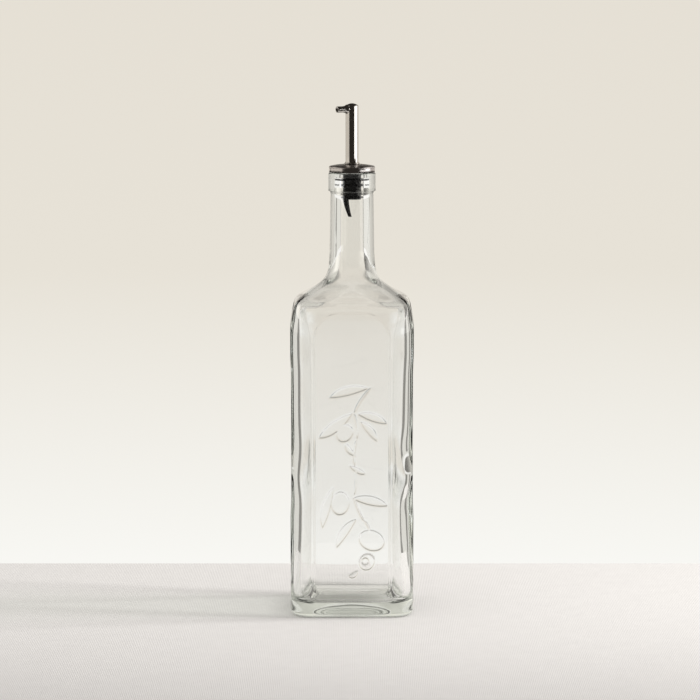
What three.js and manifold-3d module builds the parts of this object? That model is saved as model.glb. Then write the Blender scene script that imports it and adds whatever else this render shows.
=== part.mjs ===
// Glass oil cruet: a tall square bottle of clear pressed glass, with a raised olive sprig in a sunk
// arched panel, and a steel pourer whose ribbed black stopper sits in the neck.
// Millimetres, +Z up. The origin is on the table under the bottle's axis. The sprig faces -Y, and the
// pourer's side nozzle points to -X, turned 30 degrees towards the sprig's side.
import * as THREE from "three";
import { mergeVertices } from "three/addons/utils/BufferGeometryUtils.js";
import Module from "manifold-3d";

const wasm = await Module();
wasm.setup();

// Bottle body, a rounded square in plan
const BODY_HALF = 39;
const CORNER_R = 13;
const WALL = 3.4;
const SIDE_WALL_EXTRA = 1.2;
const SIDE_WALL_FADE = 14;
const INNER_CORNER_R = 12;
const WAIST_DEPTH = 0.5;
const WAIST_LOW = 77;
const WAIST_HIGH = 153;
const WAIST_FADE = 8;

// Base: the bottle stands on a flat ring round a push-up
const HEEL_R = 5;
const FOOT_INNER_HALF = 30;
const PUSH_UP = 5;
const PUSH_UP_BEND = 21.6;
const FLOOR_EDGE = 8.6;
const FLOOR_MIDDLE = 9.6;
const FLOOR_FILLET = 7;
const BASE_CORNER_R = 8;

// Shoulder, neck and finish: the collar round the mouth
const SHOULDER_START = 186;
const SHOULDER_SIDE = { half: 37.9, z: 198 };
const SHOULDER_EDGE = { half: 34.8, z: 200.6 };
const SHOULDER_CROWN = { half: 31.2, z: 202.3 };
const SHOULDER_SLOPE = { half: 27, z: 205.7 };
const SHOULDER_TOP = { half: 19.4, z: 210.4 };
const NECK_FLARE = { half: 14.45, z: 213.9 };
const NECK_FOOT = { half: 14.35, z: 222.5 };
const NECK_MIDDLE = { half: 14, z: 245 };
const NECK_TOP_R = 13.65;
const COLLAR_R = 15.05;
const COLLAR_BOTTOM = 268.4;
const COLLAR_BEAD = 1.5;
const COLLAR_EDGE = 0.5;
const LIP_TOP = 280;
const LIP_ROUND = 1.1;
const BORE_R = 7.2;
const BORE_FOOT = 236;
const BORE_WIDENING = { half: 7.3, z: 221.5 };
const BORE_FLARE = { half: 9.6, z: 216.5 };
const INNER_NECK_BEND = { half: 12.4, z: 210.8 };
const INNER_SHOULDER_TOP = { half: 17.6, z: 207.6 };
const INNER_SHOULDER_SLOPE = { half: 25.4, z: 202.8 };
const INNER_SHOULDER_CROWN = { half: 29.5, z: 199.8 };
const INNER_SHOULDER_EDGE = { half: 33, z: 198 };
const INNER_SHOULDER_SIDE = { half: 35.2, z: 196.3 };
const INNER_SHOULDER_START = 186.5;

// Sunk panel on the front and the back, and the grip dents on the sides
const PANEL_HALF = 23.5;
const PANEL_LOW = 14;
const PANEL_HIGH = 194;
const PANEL_TOP_R = 15;
const PANEL_LOW_R = 5;
const PANEL_SINK = 0.6;
const GRIP_Z = 95;
const GRIP_R = 18;
const GRIP_DEPTH = 1.1;

// Olive sprig
const SPRIG_RISE = 0.56;
const STEM_HALF_WIDTH = 0.55;

// Pourer, measured from the lip
const FIT_GAP = 0.3;
const CAP_R = 14.65;
const CAP_SIDE_TOP = 3.1;
const CAP_EDGE = { r: 13.4, z: 4.2 };
const CAP_CROWN_R = 9.4;
const CAP_TOP = 5.2;
const FLANGE_R = 12.9;
const FLANGE_TOP = 1.9;
const SPOUT_R = 4.15;
const SPOUT_BORE_R = 3.3;
const SPOUT_TOP = 42.3;
const DOME_RISE = 1.5;
const SPOUT_BOTTOM = -8.7;
const SPOUT_FOOT_R = 4.9;
const SPOUT_FOOT_EDGE = 0.4;
const SPOUT_FOOT_HEIGHT = 1.3;
const NOZZLE_R = 1.95;
const NOZZLE_BORE_R = 1.35;
const NOZZLE_REACH = 11.1;
const NOZZLE_Z = 40.1;
const NOZZLE_TURN = Math.PI / 6;
const NOZZLE_ROOT_R = 2.35;
const NOZZLE_ROOT_REACH = 6.2;
const STOPPER_CORE_R = 6.3;
const STOPPER_BOTTOM = -16.8;
const PLUG_NECK_BOTTOM = -0.9;
const WIDE_RIBS = 2;
const WIDE_RIB_PITCH = 3.4;
const WIDE_RIB_FIRST = -3.45;
const FINE_RIBS = 3;
const FINE_RIB_PITCH = 1.95;
const FINE_RIB_FIRST = -10.65;
const RIB_EDGE = 0.7;
const RIB_SLOPE = 0.5;
const OIL_PASSAGE_R = 1.9;
const AIR_TUBE_ROOT = { x: -4.05, r: 1.95 };
const AIR_TUBE_TIP = { x: -1.25, r: 1.1 };
const AIR_TUBE_LENGTH = 11.3;
const AIR_TUBE_BOW = 0.35;
const AIR_BORE_R = 0.6;
const AIR_BORE_RUN = 3;
const AIR_TUBE_ROOTED = 0.5;
const AIR_TUBE_RINGS = 5;

// Facets
const BODY_SIDES = 48;
const CORNER_PACKING = 0.45;
const ROUND_SIDES = 36;
const STOPPER_SIDES = 24;
const SPOUT_SIDES = 28;
const SMALL_SIDES = 16;
const GRIP_RINGS = 5;
const PETAL_SIDES = 8;
const PETAL_RINGS = 8;
const STEM_RINGS = 5;

// How far a cutter runs on past the face it cuts
const OVERSHOOT = 3;

const point = (half, z) => new THREE.Vector2(half, z);

// Points of a rounded stretch that leaves a towards the corner and arrives at b, without a itself.
function bend(a, corner, b, steps) {
  const curve = new THREE.QuadraticBezierCurve(a, corner, b);
  return curve.getPoints(steps).slice(1);
}

// Closed geometry with shared vertices, no empty triangles and its faces turned outwards.
function closedGeometry(source) {
  const loose = source.clone();
  loose.deleteAttribute("normal");
  loose.deleteAttribute("uv");
  const merged = mergeVertices(loose);
  const position = merged.attributes.position;
  const corner = [new THREE.Vector3(), new THREE.Vector3(), new THREE.Vector3()];
  const kept = [];
  let volume = 0;
  for (let i = 0; i < merged.index.count; i += 3) {
    const tri = [0, 1, 2].map((k) => merged.index.getX(i + k));
    if (tri[0] === tri[1] || tri[1] === tri[2] || tri[2] === tri[0]) continue;
    tri.forEach((vertex, k) => corner[k].fromBufferAttribute(position, vertex));
    volume += corner[0].dot(corner[1].clone().cross(corner[2]));
    kept.push(tri);
  }
  const ordered = volume > 0 ? kept : kept.map(([a, b, c]) => [a, c, b]);
  merged.setIndex(ordered.flat());
  return merged;
}

function solidOf(source) {
  const geometry = closedGeometry(source);
  const vertProperties = new Float32Array(geometry.attributes.position.array);
  const triVerts = new Uint32Array(geometry.index.array);
  return new wasm.Manifold(new wasm.Mesh({ numProp: 3, vertProperties, triVerts }));
}

function geometryOf(solid) {
  const { vertProperties, triVerts } = solid.getMesh();
  const geometry = new THREE.BufferGeometry();
  geometry.setAttribute("position", new THREE.BufferAttribute(vertProperties, 3));
  geometry.setIndex(new THREE.BufferAttribute(triVerts, 1));
  geometry.computeVertexNormals();
  return geometry;
}

function joined(solids) {
  return solids.reduce((whole, piece) => whole.add(piece));
}

// Distance from the axis to the edge of a rounded square, in the direction of an angle.
function squareReach(angle, half, corner) {
  const along = Math.max(Math.abs(Math.cos(angle)), Math.abs(Math.sin(angle)));
  const across = Math.min(Math.abs(Math.cos(angle)), Math.abs(Math.sin(angle)));
  const centre = half - corner;
  if (half * across <= centre * along) return half / along;
  const sum = along + across;
  return centre * sum + Math.sqrt(Math.max(0, centre * centre * (sum * sum - 2) + corner * corner));
}

function smooth(x) {
  const t = Math.min(1, Math.max(0, x));
  return t * t * (3 - 2 * t);
}

// How far the two side faces are drawn in at a height: nothing at base and shoulder, all at the waist.
function waistAt(z) {
  const fromBelow = smooth((z - WAIST_LOW) / WAIST_FADE + 1);
  const fromAbove = smooth((WAIST_HIGH - z) / WAIST_FADE + 1);
  return WAIST_DEPTH * fromBelow * fromAbove;
}

// How far the hollow stays further in at the two side walls, which are thicker up to the shoulder.
function sideWallAt(z) {
  return SIDE_WALL_EXTRA * smooth((SHOULDER_EDGE.z - z) / SIDE_WALL_FADE);
}

// A lathe-turned profile whose rings are then squared, with most points at the corners.
function squaredLathe(profile, cornerAt, drawnIn) {
  const geometry = new THREE.LatheGeometry(profile, BODY_SIDES);
  const position = geometry.attributes.position;
  for (let i = 0; i <= BODY_SIDES; i++) {
    const even = (i / BODY_SIDES) * Math.PI * 2;
    const angle = even + (CORNER_PACKING * Math.sin(4 * even)) / 4;
    profile.forEach(({ x: half, y: z }, j) => {
      const reach = squareReach(angle, half, Math.min(half, cornerAt(half, z)));
      const across = reach * Math.cos(angle) * (1 - drawnIn(z) / BODY_HALF);
      position.setXYZ(i * profile.length + j, across, reach * Math.sin(angle), z);
    });
  }
  return solidOf(geometry);
}

// Plan corner radius of the glass: small at the base, the body's own, then a full circle at the neck.
function planCorner(bodyCorner) {
  return (half, z) => {
    if (z < HEEL_R + 0.01) return Math.max(BASE_CORNER_R, bodyCorner - (BODY_HALF - half));
    if (z < SHOULDER_START - WALL) return bodyCorner;
    const roundness = smooth((BODY_HALF - half) / (BODY_HALF - SHOULDER_TOP.half));
    return bodyCorner + (half - bodyCorner) * roundness;
  };
}

// The glass's outer skin as a solid with no hollow, drawn in all round by an inset.
function outerSkin(inset) {
  const wall = BODY_HALF - inset;
  const middle = point(0, PUSH_UP);
  const heel = point(wall - HEEL_R, 0);
  const start = point(wall, SHOULDER_START);
  const edge = point(SHOULDER_EDGE.half - inset, SHOULDER_EDGE.z - inset);
  const slope = point(SHOULDER_SLOPE.half, SHOULDER_SLOPE.z - inset);
  const top = point(SHOULDER_TOP.half - inset, SHOULDER_TOP.z - inset);
  const bead = point(NECK_TOP_R, COLLAR_BOTTOM - COLLAR_BEAD);
  const collar = point(COLLAR_R - COLLAR_EDGE, COLLAR_BOTTOM);
  const brim = point(COLLAR_R, LIP_TOP - LIP_ROUND);
  const profile = [
    middle,
    ...bend(middle, point(PUSH_UP_BEND, PUSH_UP), point(FOOT_INNER_HALF, 0), 4),
    heel,
    ...bend(heel, point(wall, 0), point(wall, HEEL_R), 4),
    point(wall, WAIST_LOW - WAIST_FADE),
    point(wall, WAIST_LOW - WAIST_FADE / 2),
    point(wall, WAIST_LOW),
    point(wall, WAIST_HIGH),
    point(wall, WAIST_HIGH + WAIST_FADE / 2),
    point(wall, WAIST_HIGH + WAIST_FADE),
    start,
    ...bend(start, point(SHOULDER_SIDE.half - inset, SHOULDER_SIDE.z), edge, 6),
    ...bend(edge, point(SHOULDER_CROWN.half - inset, SHOULDER_CROWN.z), slope, 3),
    top,
    ...bend(top, point(NECK_FLARE.half, NECK_FLARE.z), point(NECK_FOOT.half, NECK_FOOT.z), 5),
    point(NECK_MIDDLE.half, NECK_MIDDLE.z),
    bead,
    ...bend(bead, point(NECK_TOP_R, COLLAR_BOTTOM), collar, 3),
    point(COLLAR_R, COLLAR_BOTTOM + COLLAR_EDGE),
    brim,
    ...bend(brim, point(COLLAR_R, LIP_TOP), point(COLLAR_R - LIP_ROUND, LIP_TOP), 3),
    point(0, LIP_TOP),
  ];
  return squaredLathe(profile, planCorner(CORNER_R - inset), waistAt);
}

// The hollow: floor, walls, inner shoulder, and the bore out through the lip.
function hollow() {
  const inner = BODY_HALF - WALL;
  const floor = point(inner - FLOOR_FILLET, FLOOR_EDGE);
  const start = point(inner, INNER_SHOULDER_START);
  const side = point(INNER_SHOULDER_SIDE.half, INNER_SHOULDER_SIDE.z);
  const edge = point(INNER_SHOULDER_EDGE.half, INNER_SHOULDER_EDGE.z);
  const crown = point(INNER_SHOULDER_CROWN.half, INNER_SHOULDER_CROWN.z);
  const slope = point(INNER_SHOULDER_SLOPE.half, INNER_SHOULDER_SLOPE.z);
  const top = point(INNER_SHOULDER_TOP.half, INNER_SHOULDER_TOP.z);
  const neckBend = point(INNER_NECK_BEND.half, INNER_NECK_BEND.z);
  const flare = point(BORE_FLARE.half, BORE_FLARE.z);
  const widening = point(BORE_WIDENING.half, BORE_WIDENING.z);
  const mouth = point(BORE_R, LIP_TOP - LIP_ROUND);
  const lip = point(BORE_R + LIP_ROUND, LIP_TOP);
  const profile = [
    point(0, FLOOR_MIDDLE),
    point((inner - FLOOR_FILLET) / 2, (FLOOR_MIDDLE * 2 + FLOOR_EDGE) / 3),
    floor,
    ...bend(floor, point(inner, FLOOR_EDGE), point(inner, FLOOR_EDGE + FLOOR_FILLET), 4),
    start,
    ...bend(start, side, edge, 5),
    ...bend(edge, crown, slope, 2),
    top,
    ...bend(top, neckBend, flare, 3),
    ...bend(flare, widening, point(BORE_R, BORE_FOOT), 3),
    mouth,
    ...bend(mouth, point(BORE_R, LIP_TOP), lip, 2),
    point(lip.x, LIP_TOP + OVERSHOOT),
    point(0, LIP_TOP + OVERSHOOT),
  ];
  return squaredLathe(profile, planCorner(INNER_CORNER_R), sideWallAt);
}

// Arched panel, sunk the same depth all over: what its outline holds outside the drawn-in skin.
function panelCut(turn) {
  const low = PANEL_LOW + PANEL_LOW_R;
  const high = PANEL_HIGH - PANEL_TOP_R;
  const right = Math.PI * 2;
  const outline = new THREE.Shape();
  outline.absarc(PANEL_HALF - PANEL_LOW_R, low, PANEL_LOW_R, right * 0.75, right);
  outline.absarc(PANEL_HALF - PANEL_TOP_R, high, PANEL_TOP_R, 0, right * 0.25);
  outline.absarc(-PANEL_HALF + PANEL_TOP_R, high, PANEL_TOP_R, right * 0.25, right * 0.5);
  outline.absarc(-PANEL_HALF + PANEL_LOW_R, low, PANEL_LOW_R, right * 0.5, right * 0.75);
  const block = { depth: BODY_HALF, bevelEnabled: false, curveSegments: 5 };
  const prism = new THREE.ExtrudeGeometry(outline, block);
  prism.rotateX(Math.PI / 2);
  prism.translate(0, -BODY_HALF / 2, 0);
  prism.rotateZ(turn);
  return solidOf(prism).subtract(outerSkin(PANEL_SINK));
}

// Soft round dent in a side face, turned on a lathe and laid on its side.
function gripDent(side) {
  const profile = [];
  for (let i = 0; i <= GRIP_RINGS; i++) {
    const out = i / GRIP_RINGS;
    profile.push(point(GRIP_R * out, -(GRIP_DEPTH / 2) * (1 + Math.cos(Math.PI * out))));
  }
  profile.push(point(GRIP_R, OVERSHOOT));
  profile.push(point(0, OVERSHOOT));
  const dent = new THREE.LatheGeometry(profile, SMALL_SIDES);
  dent.rotateZ((-side * Math.PI) / 2);
  dent.translate(side * (BODY_HALF - WAIST_DEPTH), 0, GRIP_Z);
  return solidOf(dent);
}

// Half-width along the sprig's pieces, as a share of the widest, from one end (0) to the other (1).
const LEAF = (t) => 4 * t * (1 - t);
const OLIVE = (t) => 2 * Math.sqrt(t * (1 - t));
const STEM = (t) => Math.min(1, 6 * t, 6 * (1 - t));

// One raised piece of the sprig: a sphere drawn out along a curve that lies on the sunk panel.
function raised(from, bow, to, halfWidth, shape, rings) {
  const curve = new THREE.QuadraticBezierCurve(
    new THREE.Vector2(...from),
    new THREE.Vector2((from[0] + to[0]) / 2 + bow[0], (from[1] + to[1]) / 2 + bow[1]),
    new THREE.Vector2(...to),
  );
  const geometry = new THREE.SphereGeometry(1, PETAL_SIDES, rings);
  const position = geometry.attributes.position;
  const face = -(BODY_HALF - PANEL_SINK);
  for (let i = 0; i < position.count; i++) {
    const unit = new THREE.Vector3().fromBufferAttribute(position, i);
    const t = (1 - unit.y) / 2;
    const ring = Math.hypot(unit.x, unit.z) || 1;
    const middle = curve.getPoint(t);
    const tangent = curve.getTangent(t);
    const sideways = (unit.x / ring) * halfWidth * shape(t);
    const outward = (unit.z / ring) * SPRIG_RISE * Math.sqrt(shape(t));
    const across = middle.x - tangent.y * sideways;
    const up = middle.y + tangent.x * sideways;
    position.setXYZ(i, across, face - outward, up);
  }
  return solidOf(geometry);
}

// The sprig in panel coordinates (across, height): a winding stem, leaves in pairs and three olives.
function oliveSprig() {
  const leaf = (from, bow, to, halfWidth) => raised(from, bow, to, halfWidth, LEAF, PETAL_RINGS);
  const stem = (from, bow, to) => raised(from, bow, to, STEM_HALF_WIDTH, STEM, STEM_RINGS);
  const olive = (x, z, length, width, lean) => {
    const across = (Math.sin(lean) * length) / 2;
    const up = (Math.cos(lean) * length) / 2;
    return raised([x - across, z - up], [0, 0], [x + across, z + up], width / 2, OLIVE, PETAL_RINGS);
  };
  return joined([
    stem([12, 147.5], [-1.5, 1.5], [1, 131]),
    stem([1, 131.6], [2.4, 0.5], [3, 114]),
    stem([3, 114.6], [-2.2, 0], [2, 97]),
    stem([2, 97.6], [1.8, 1], [1, 78]),
    stem([1, 78.6], [-0.8, -1.5], [8, 62]),
    stem([8, 62.6], [2.2, 0], [11, 54]),
    leaf([10, 147], [-1.5, 2.6], [-14, 141], 2.7),
    leaf([0, 131], [-2, -2.4], [-20.5, 115.5], 3.1),
    leaf([4, 130.5], [1.5, 2], [21.8, 124.5], 2.5),
    leaf([5.5, 125.5], [2.2, 1], [15.5, 113.5], 2.1),
    leaf([-1.6, 97.8], [1.5, -1.2], [8, 92.6], 1.5),
    leaf([2.2, 104], [-2.5, 0], [-3.5, 112], 1.6),
    leaf([-11.8, 84], [-2.6, -1], [-18.6, 58], 2.5),
    leaf([0.5, 77], [1, 1.8], [22.4, 72.2], 2.8),
    leaf([2.6, 63.5], [-2.8, 2], [-9.6, 45.5], 2.5),
    leaf([3.5, 30.5], [0.5, -2.2], [-2, 27], 1.4),
    olive(-4.6, 118.5, 11.5, 9.6, 0.6),
    olive(-7.4, 73.8, 14.6, 11.2, 0.12),
    olive(12.4, 50, 16.2, 12.6, -1.2),
    olive(9.4, 36.2, 10.6, 9.2, 0.5),
  ]);
}

function bottle() {
  return outerSkin(0)
    .subtract(panelCut(0))
    .subtract(panelCut(Math.PI))
    .subtract(gripDent(-1))
    .subtract(gripDent(1))
    .add(oliveSprig())
    .subtract(hollow());
}

// A ring or cup turned about the vertical axis from a closed profile.
function turned(profile, sides) {
  const closed = [...profile, profile[0].clone()];
  const geometry = new THREE.LatheGeometry(closed, sides);
  geometry.rotateX(Math.PI / 2);
  return solidOf(geometry);
}

// Pressed steel cap over the stopper's flange, with a hole for the spout.
function cap() {
  const flangeRoom = FLANGE_TOP + FIT_GAP;
  const side = point(CAP_R, CAP_SIDE_TOP);
  const edge = point(CAP_EDGE.r, CAP_EDGE.z);
  return turned([
    point(SPOUT_R + FIT_GAP, CAP_TOP),
    point(SPOUT_R + FIT_GAP, flangeRoom),
    point(FLANGE_R + FIT_GAP, flangeRoom),
    point(FLANGE_R + FIT_GAP, FIT_GAP),
    point(CAP_R, FIT_GAP),
    side,
    ...bend(side, point(CAP_R, CAP_EDGE.z), edge, 3),
    ...bend(edge, point(CAP_CROWN_R, CAP_TOP), point(SPOUT_FOOT_R, CAP_TOP), 3),
  ], ROUND_SIDES);
}

// Steel spout: a tube closed by a low dome, with a short side nozzle near its top.
function spout() {
  const shoulder = point(SPOUT_R, SPOUT_TOP);
  const domeTop = point(0, SPOUT_TOP + DOME_RISE);
  const inside = SPOUT_TOP - (SPOUT_R - SPOUT_BORE_R);
  const footBottom = CAP_TOP + FIT_GAP;
  const tube = turned([
    point(0, SPOUT_BOTTOM),
    point(SPOUT_R, SPOUT_BOTTOM),
    point(SPOUT_R, footBottom),
    point(SPOUT_FOOT_R, footBottom),
    point(SPOUT_FOOT_R, footBottom + SPOUT_FOOT_EDGE),
    point(SPOUT_R, footBottom + SPOUT_FOOT_HEIGHT),
    shoulder,
    ...bend(shoulder, point(SPOUT_R / 2, domeTop.y), domeTop, 4),
  ], SPOUT_SIDES);
  const bore = turned([
    point(0, inside),
    point(0, SPOUT_BOTTOM - OVERSHOOT),
    point(SPOUT_BORE_R, SPOUT_BOTTOM - OVERSHOOT),
    point(SPOUT_BORE_R, inside),
  ], SPOUT_SIDES);
  const sideways = (radius, rootR, reach) => {
    const profile = [point(0, 0), point(rootR, 0), point(rootR, SPOUT_BORE_R)];
    profile.push(point(radius, NOZZLE_ROOT_REACH), point(radius, reach), point(0, reach));
    const geometry = new THREE.LatheGeometry(profile, SMALL_SIDES);
    geometry.rotateZ(Math.PI / 2 + NOZZLE_TURN);
    geometry.translate(0, 0, NOZZLE_Z);
    return solidOf(geometry);
  };
  return tube
    .add(sideways(NOZZLE_R, NOZZLE_ROOT_R, NOZZLE_REACH))
    .subtract(bore)
    .subtract(sideways(NOZZLE_BORE_R, NOZZLE_BORE_R, NOZZLE_REACH + OVERSHOOT));
}

// Black stopper: a ribbed plug under a flange, bored for the oil and the spout, with its air tube moulded on.
function stopper() {
  const ribR = BORE_R - FIT_GAP;
  const rib = (z) => [
    point(STOPPER_CORE_R, z),
    point(ribR, z - RIB_SLOPE),
    point(ribR, z - RIB_SLOPE - RIB_EDGE),
    point(STOPPER_CORE_R, z - 2 * RIB_SLOPE - RIB_EDGE),
  ];
  const ribs = [];
  for (let i = 0; i < WIDE_RIBS; i++) ribs.push(...rib(WIDE_RIB_FIRST - i * WIDE_RIB_PITCH));
  for (let i = 0; i < FINE_RIBS; i++) ribs.push(...rib(FINE_RIB_FIRST - i * FINE_RIB_PITCH));
  const spoutRoom = SPOUT_R + FIT_GAP;
  const plug = turned([
    point(spoutRoom, FLANGE_TOP),
    point(FLANGE_R, FLANGE_TOP),
    point(FLANGE_R, FIT_GAP),
    point(ribR, FIT_GAP),
    point(ribR, PLUG_NECK_BOTTOM),
    point(STOPPER_CORE_R, PLUG_NECK_BOTTOM - RIB_SLOPE),
    ...ribs,
    point(STOPPER_CORE_R, STOPPER_BOTTOM),
    point(OIL_PASSAGE_R, STOPPER_BOTTOM),
    point(OIL_PASSAGE_R, SPOUT_BOTTOM - FIT_GAP),
    point(spoutRoom, SPOUT_BOTTOM - FIT_GAP),
  ], STOPPER_SIDES);
  const tube = airTube(AIR_TUBE_TIP.r, AIR_TUBE_ROOT.r, 0);
  const airBore = airTube(AIR_BORE_R, AIR_BORE_R, AIR_BORE_RUN);
  return plug.add(tube).subtract(airBore);
}

// Leaning, slightly bowed cone: the moulded air tube, or its bore where it runs on past both ends.
function airTube(tipR, rootR, runOn) {
  const top = Math.max(AIR_TUBE_ROOTED, runOn);
  const length = AIR_TUBE_LENGTH + top + runOn;
  const geometry = new THREE.CylinderGeometry(rootR, tipR, length, SMALL_SIDES, AIR_TUBE_RINGS);
  geometry.rotateX(Math.PI / 2);
  geometry.translate(0, 0, STOPPER_BOTTOM + top - length / 2);
  const position = geometry.attributes.position;
  for (let i = 0; i < position.count; i++) {
    const down = (STOPPER_BOTTOM - position.getZ(i)) / AIR_TUBE_LENGTH;
    const lean = AIR_TUBE_ROOT.x + (AIR_TUBE_TIP.x - AIR_TUBE_ROOT.x) * down;
    position.setX(i, position.getX(i) + lean - AIR_TUBE_BOW * 4 * down * (1 - down));
  }
  return solidOf(geometry);
}

function piece(name, solid, look) {
  const mesh = new THREE.Mesh(geometryOf(solid), new THREE.MeshStandardMaterial(look));
  mesh.name = name;
  return mesh;
}

const pourer = new THREE.Group();
pourer.add(
  piece("pourer_cap", cap(), { color: 0x8d8a88, roughness: 0.32, metalness: 1 }),
  piece("pourer_spout", spout(), { color: 0xa09c98, roughness: 0.14, metalness: 1 }),
  piece("pourer_stopper", stopper(), { color: 0x16161a, roughness: 0.45, metalness: 0 }),
);
pourer.position.z = LIP_TOP;

const cruet = new THREE.Group();
cruet.add(
  piece("bottle_glass", bottle(), {
    color: 0xe6eee8,
    roughness: 0.03,
    metalness: 0,
    transparent: true,
    opacity: 0.35,
  }),
  pourer,
);

export default cruet;
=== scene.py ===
import math

import bpy
import numpy as np
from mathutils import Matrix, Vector


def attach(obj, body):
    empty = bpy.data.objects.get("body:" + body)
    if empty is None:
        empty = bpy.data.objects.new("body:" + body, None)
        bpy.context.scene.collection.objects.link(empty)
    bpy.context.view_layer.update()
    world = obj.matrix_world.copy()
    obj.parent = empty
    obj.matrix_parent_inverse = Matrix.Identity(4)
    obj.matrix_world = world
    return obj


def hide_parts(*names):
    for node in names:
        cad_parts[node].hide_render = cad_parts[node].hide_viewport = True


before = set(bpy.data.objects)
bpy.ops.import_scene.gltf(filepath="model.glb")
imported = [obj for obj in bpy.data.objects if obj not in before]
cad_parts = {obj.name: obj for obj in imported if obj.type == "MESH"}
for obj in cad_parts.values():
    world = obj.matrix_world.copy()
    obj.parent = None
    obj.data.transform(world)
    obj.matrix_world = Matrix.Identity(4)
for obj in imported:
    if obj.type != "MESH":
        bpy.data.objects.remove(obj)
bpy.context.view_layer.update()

# Bottle glass: one piece of clear pressed glass, a rounded square in plan on a thick pushed-up base,
# with a drawn-in waist, grip dents in its sides and a round neck that ends in a collar. The mould leaves
# a sunk arched panel front and back, and raises an olive sprig on the front one. The walls ripple a little.
BODY_HALF = 0.039
CORNER_R = 0.013
WALL = 0.0034
SIDE_WALL_EXTRA = 0.0012
NECK_WALL = 0.00715
INNER_CORNER_R = 0.012
WAIST_DEPTH = 0.0005
WAIST_LOW = 0.077
WAIST_HIGH = 0.153
WAIST_FADE = 0.016
HEEL_R = 0.005
FOOT_INNER_HALF = 0.030
PUSH_UP = 0.005
PUSH_UP_BEND = 0.0216
BASE_CORNER_R = 0.008
FLOOR_EDGE = 0.0086
FLOOR_MIDDLE = 0.0096
FLOOR_FILLET = 0.007
SHOULDER_START = 0.186
SHOULDER_TOP_HALF = 0.0194
COLLAR_R = 0.01505
COLLAR_BOTTOM = 0.2684
LIP_TOP = 0.280
LIP_ROUND = 0.0011
BORE_R = 0.0072
PANEL_HALF = 0.0235
PANEL_LOW = 0.014
PANEL_HIGH = 0.194
PANEL_TOP_R = 0.015
PANEL_LOW_R = 0.005
PANEL_SINK = 0.0006
PANEL_EDGE = 0.0009
GRIP_Z = 0.095
GRIP_R = 0.018
GRIP_DEPTH = 0.0011
SPRIG_RISE = 0.00028
SPRIG_EDGE = 0.0012
LINE_WIDTH = 0.0005
LINE_RISE = 0.0011
STIPPLE = 0.11
STIPPLE_R = 0.0325
STIPPLE_TOP = 0.0068
STEM_HALF_WIDTH = 0.00055
SPRIG_LOW = 0.024
SPRIG_HIGH = 0.151
FAR_OUTSIDE = -0.02
PANEL_COLUMNS = 85
PANEL_REACH = 0.026
NECK_FOOT = 0.2225
HOLLOW_FOLLOWS = 0.172
NECK_THICKENS = 0.2075
GRIP_FACE = 0.030
SIDE_FACE = 0.0285
SIDE_FACE_FADE = 0.005
LEFT_WAVE = -0.3


def at(half, z):
    return np.array([half, z])


def bend(start, corner, end, steps):
    t = np.linspace(0, 1, steps + 1)[1:, None]
    return (1 - t) ** 2 * start + 2 * t * (1 - t) * corner + t ** 2 * end


def straight(start, end, steps):
    return start + (end - start) * np.linspace(0, 1, steps + 1)[1:, None]


def smooth(x):
    t = np.clip(x, 0, 1)
    return t * t * (3 - 2 * t)


def eased(profile, low, high, passes):
    """Softens the joints of a profile between two heights and leaves the rest as it is."""
    free = (profile[1:-1, 1] > low) & (profile[1:-1, 1] < high)
    for _ in range(passes):
        middle = (profile[:-2] + profile[2:]) / 2
        profile[1:-1][free] = (profile[1:-1] * 0.5 + middle * 0.5)[free]
    return profile


def outer_profile():
    push_up = at(0, PUSH_UP)
    foot = at(FOOT_INNER_HALF, 0)
    heel = at(BODY_HALF - HEEL_R, 0)
    wall_low = at(BODY_HALF, HEEL_R)
    sprig_low = at(BODY_HALF, SPRIG_LOW)
    sprig_high = at(BODY_HALF, SPRIG_HIGH)
    arch_low = at(BODY_HALF, 0.175)
    start = at(BODY_HALF, SHOULDER_START)
    edge = at(0.0348, 0.2006)
    slope = at(0.0270, 0.2057)
    top = at(SHOULDER_TOP_HALF, 0.2104)
    neck_foot = at(0.01435, NECK_FOOT)
    neck_middle = at(0.0140, 0.245)
    bead = at(0.01365, 0.2669)
    collar_low = at(COLLAR_R - 0.0005, COLLAR_BOTTOM)
    collar_side = at(COLLAR_R, COLLAR_BOTTOM + 0.0005)
    brim = at(COLLAR_R, LIP_TOP - LIP_ROUND)
    lip_outside = at(COLLAR_R - LIP_ROUND, LIP_TOP)
    rows = [
        push_up[None],
        bend(push_up, at(PUSH_UP_BEND, PUSH_UP), foot, 16),
        straight(foot, heel, 4),
        bend(heel, at(BODY_HALF, 0), wall_low, 10),
        straight(wall_low, sprig_low, 20),
        straight(sprig_low, sprig_high, 204),
        straight(sprig_high, arch_low, 10),
        straight(arch_low, start, 16),
        bend(start, at(0.0379, 0.198), edge, 20),
        bend(edge, at(0.0312, 0.2023), slope, 9),
        straight(slope, top, 8),
        bend(top, at(0.01445, 0.2139), neck_foot, 14),
        straight(neck_foot, neck_middle, 6),
        straight(neck_middle, bead, 6),
        bend(bead, at(0.01365, COLLAR_BOTTOM), collar_low, 6),
        bend(collar_low, at(COLLAR_R, COLLAR_BOTTOM), collar_side, 3),
        straight(collar_side, brim, 6),
        bend(brim, at(COLLAR_R, LIP_TOP), lip_outside, 6),
    ]
    profile = eased(np.vstack(rows), 0.178, 0.230, 30)
    return eased(profile, -1, 0.0004, 3)


def square_reach(angle, half, corner):
    """Distance from the axis to the edge of a rounded square, in the direction of an angle."""
    along = np.maximum(np.abs(np.cos(angle)), np.abs(np.sin(angle)))
    across = np.minimum(np.abs(np.cos(angle)), np.abs(np.sin(angle)))
    centre = half - corner
    both = along + across
    root = np.sqrt(np.maximum(0, centre ** 2 * (both ** 2 - 2) + corner ** 2))
    return np.where(half * across <= centre * along, half / along, centre * both + root)


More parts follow.
